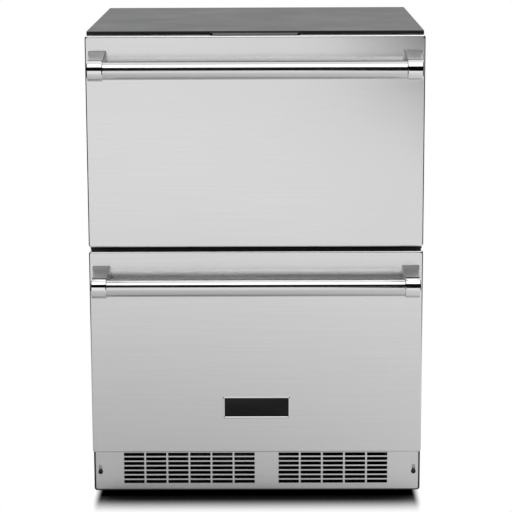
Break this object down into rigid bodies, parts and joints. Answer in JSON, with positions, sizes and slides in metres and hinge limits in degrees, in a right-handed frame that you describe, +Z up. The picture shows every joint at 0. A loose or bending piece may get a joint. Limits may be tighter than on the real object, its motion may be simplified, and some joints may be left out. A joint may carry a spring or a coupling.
{
  "type": "undercounter drawer refrigerator",
  "caption": "Undercounter refrigerator with two stacked stainless drawers on full extension slides, tubular handles and a slotted kick plate.",
  "frame": {"origin": "centre of the footprint at floor level", "axes": "+X to the viewer's right, +Y from the drawer fronts to the back, +Z up"},
  "size_m": [0.606, 0.673, 0.864],
  "materials": {
    "side_panel_left": "satin",
    "side_panel_right": "satin",
    "top_panel": "satin",
    "back_panel": "satin",
    "machine_room_cover": "satin",
    "base_pan": "satin",
    "insulation": "matte",
    "inner_liner": "satin",
    "face_frame": "satin",
    "control_visor": "satin",
    "control_fascia": "satin",
    "interior_light": "gloss",
    "kick_screw_left": "satin",
    "kick_screw_right": "satin",
    "upper_slide_cabinet_left": "satin",
    "upper_slide_cabinet_right": "satin",
    "lower_slide_cabinet_left": "satin",
    "lower_slide_cabinet_right": "satin",
    "evaporator_coil": "satin",
    "evaporator_cover": "satin",
    "evaporator_fan_motor": "satin",
    "condenser_coil": "satin",
    "condenser_fan_housing": "satin",
    "compressor": "satin",
    "condensate_tray": "satin",
    "cord_gland": "satin",
    "upper_front_skin": "satin",
    "upper_front_backing": "matte",
    "upper_gasket": "matte",
    "upper_bin": "satin",
    "upper_handle_tube": "satin",
    "upper_handle_collar_left": "polished",
    "upper_handle_post_left": "satin",
    "upper_slide_drawer_left": "satin",
    "upper_handle_collar_right": "polished",
    "upper_handle_post_right": "satin",
    "upper_slide_drawer_right": "satin",
    "lower_front_skin": "satin",
    "lower_front_backing": "matte",
    "lower_gasket": "matte",
    "lower_bin": "satin",
    "lower_handle_tube": "satin",
    "lower_handle_collar_left": "polished",
    "lower_handle_post_left": "satin",
    "lower_slide_drawer_left": "satin",
    "lower_handle_collar_right": "polished",
    "lower_handle_post_right": "satin",
    "lower_slide_drawer_right": "satin",
    "nameplate": "polished",
    "upper_slide_middle_left": "satin",
    "upper_slide_middle_right": "satin",
    "lower_slide_middle_left": "satin",
    "lower_slide_middle_right": "satin",
    "kick_plate": "satin",
    "evaporator_fan_blades": "satin",
    "condenser_fan_blades": "satin",
    "leg_front_left": "satin",
    "leg_front_right": "satin",
    "leg_rear_left": "satin",
    "leg_rear_right": "satin"
  },
  "bodies": {
    "cabinet": {"side_panel_left": "side_panel_left", "side_panel_right": "side_panel_right", "top_panel": "top_panel", "back_panel": "back_panel", "machine_room_cover": "machine_room_cover", "base_pan": "base_pan", "insulation": "insulation", "inner_liner": "inner_liner", "face_frame": "face_frame", "control_visor": "control_visor", "control_fascia": "control_fascia", "interior_light": "interior_light", "kick_screw_left": "kick_screw_left", "kick_screw_right": "kick_screw_right", "upper_slide_cabinet_left": "upper_slide_cabinet_left", "upper_slide_cabinet_right": "upper_slide_cabinet_right", "lower_slide_cabinet_left": "lower_slide_cabinet_left", "lower_slide_cabinet_right": "lower_slide_cabinet_right", "evaporator_coil": "evaporator_coil", "evaporator_cover": "evaporator_cover", "evaporator_fan_motor": "evaporator_fan_motor", "condenser_coil": "condenser_coil", "condenser_fan_housing": "condenser_fan_housing", "compressor": "compressor", "condensate_tray": "condensate_tray", "cord_gland": "cord_gland"},
    "upper_drawer": {"upper_front_skin": "upper_front_skin", "upper_front_backing": "upper_front_backing", "upper_gasket": "upper_gasket", "upper_bin": "upper_bin", "upper_handle_tube": "upper_handle_tube", "upper_handle_collar_left": "upper_handle_collar_left", "upper_handle_post_left": "upper_handle_post_left", "upper_slide_drawer_left": "upper_slide_drawer_left", "upper_handle_collar_right": "upper_handle_collar_right", "upper_handle_post_right": "upper_handle_post_right", "upper_slide_drawer_right": "upper_slide_drawer_right"},
    "lower_drawer": {"lower_front_skin": "lower_front_skin", "lower_front_backing": "lower_front_backing", "lower_gasket": "lower_gasket", "lower_bin": "lower_bin", "lower_handle_tube": "lower_handle_tube", "lower_handle_collar_left": "lower_handle_collar_left", "lower_handle_post_left": "lower_handle_post_left", "lower_slide_drawer_left": "lower_slide_drawer_left", "lower_handle_collar_right": "lower_handle_collar_right", "lower_handle_post_right": "lower_handle_post_right", "lower_slide_drawer_right": "lower_slide_drawer_right", "nameplate": "nameplate"},
    "upper_slide_middle_left": {"upper_slide_middle_left": "upper_slide_middle_left"},
    "upper_slide_middle_right": {"upper_slide_middle_right": "upper_slide_middle_right"},
    "lower_slide_middle_left": {"lower_slide_middle_left": "lower_slide_middle_left"},
    "lower_slide_middle_right": {"lower_slide_middle_right": "lower_slide_middle_right"},
    "kick_plate": {"kick_plate": "kick_plate"},
    "evaporator_fan": {"evaporator_fan_blades": "evaporator_fan_blades"},
    "condenser_fan": {"condenser_fan_blades": "condenser_fan_blades"},
    "leg_front_left": {"leg_front_left": "leg_front_left"},
    "leg_front_right": {"leg_front_right": "leg_front_right"},
    "leg_rear_left": {"leg_rear_left": "leg_rear_left"},
    "leg_rear_right": {"leg_rear_right": "leg_rear_right"}
  },
  "joints": [
    {"name": "upper_drawer_slide", "type": "slide", "parent": "cabinet", "child": "upper_drawer", "axis": [0, -1, 0], "range_m": [0, 0.4]},
    {"name": "upper_slide_middle_left_slide", "type": "slide", "parent": "cabinet", "child": "upper_slide_middle_left", "axis": [0, -1, 0], "range_m": [0, 0.2]},
    {"name": "upper_slide_middle_right_slide", "type": "slide", "parent": "cabinet", "child": "upper_slide_middle_right", "axis": [0, -1, 0], "range_m": [0, 0.2]},
    {"name": "lower_drawer_slide", "type": "slide", "parent": "cabinet", "child": "lower_drawer", "axis": [0, -1, 0], "range_m": [0, 0.276]},
    {"name": "lower_slide_middle_left_slide", "type": "slide", "parent": "cabinet", "child": "lower_slide_middle_left", "axis": [0, -1, 0], "range_m": [0, 0.138]},
    {"name": "lower_slide_middle_right_slide", "type": "slide", "parent": "cabinet", "child": "lower_slide_middle_right", "axis": [0, -1, 0], "range_m": [0, 0.138]},
    {"name": "kick_plate_shift", "type": "slide", "parent": "cabinet", "child": "kick_plate", "axis": [0, 0, -1], "range_m": [0, 0.01]},
    {"name": "leg_front_left_screw", "type": "slide", "parent": "cabinet", "child": "leg_front_left", "axis": [0, 0, -1], "range_m": [0, 0.025]},
    {"name": "leg_front_right_screw", "type": "slide", "parent": "cabinet", "child": "leg_front_right", "axis": [0, 0, -1], "range_m": [0, 0.025]},
    {"name": "leg_rear_left_screw", "type": "slide", "parent": "cabinet", "child": "leg_rear_left", "axis": [0, 0, -1], "range_m": [0, 0.025]},
    {"name": "leg_rear_right_screw", "type": "slide", "parent": "cabinet", "child": "leg_rear_right", "axis": [0, 0, -1], "range_m": [0, 0.025]},
    {"name": "evaporator_fan_spin", "type": "hinge", "parent": "cabinet", "child": "evaporator_fan", "pos_m": [0, 0.229, 0.735], "axis": [0, 1, 0], "continuous": true},
    {"name": "condenser_fan_spin", "type": "hinge", "parent": "cabinet", "child": "condenser_fan", "pos_m": [-0.2, 0.23515, 0.15], "axis": [1, 0, 0], "continuous": true}
  ],
  "couplings": [
    {"joint": "upper_slide_middle_left_slide", "follows": "upper_drawer_slide", "ratio": 0.5},
    {"joint": "upper_slide_middle_right_slide", "follows": "upper_drawer_slide", "ratio": 0.5},
    {"joint": "lower_slide_middle_left_slide", "follows": "lower_drawer_slide", "ratio": 0.5},
    {"joint": "lower_slide_middle_right_slide", "follows": "lower_drawer_slide", "ratio": 0.5}
  ]
}
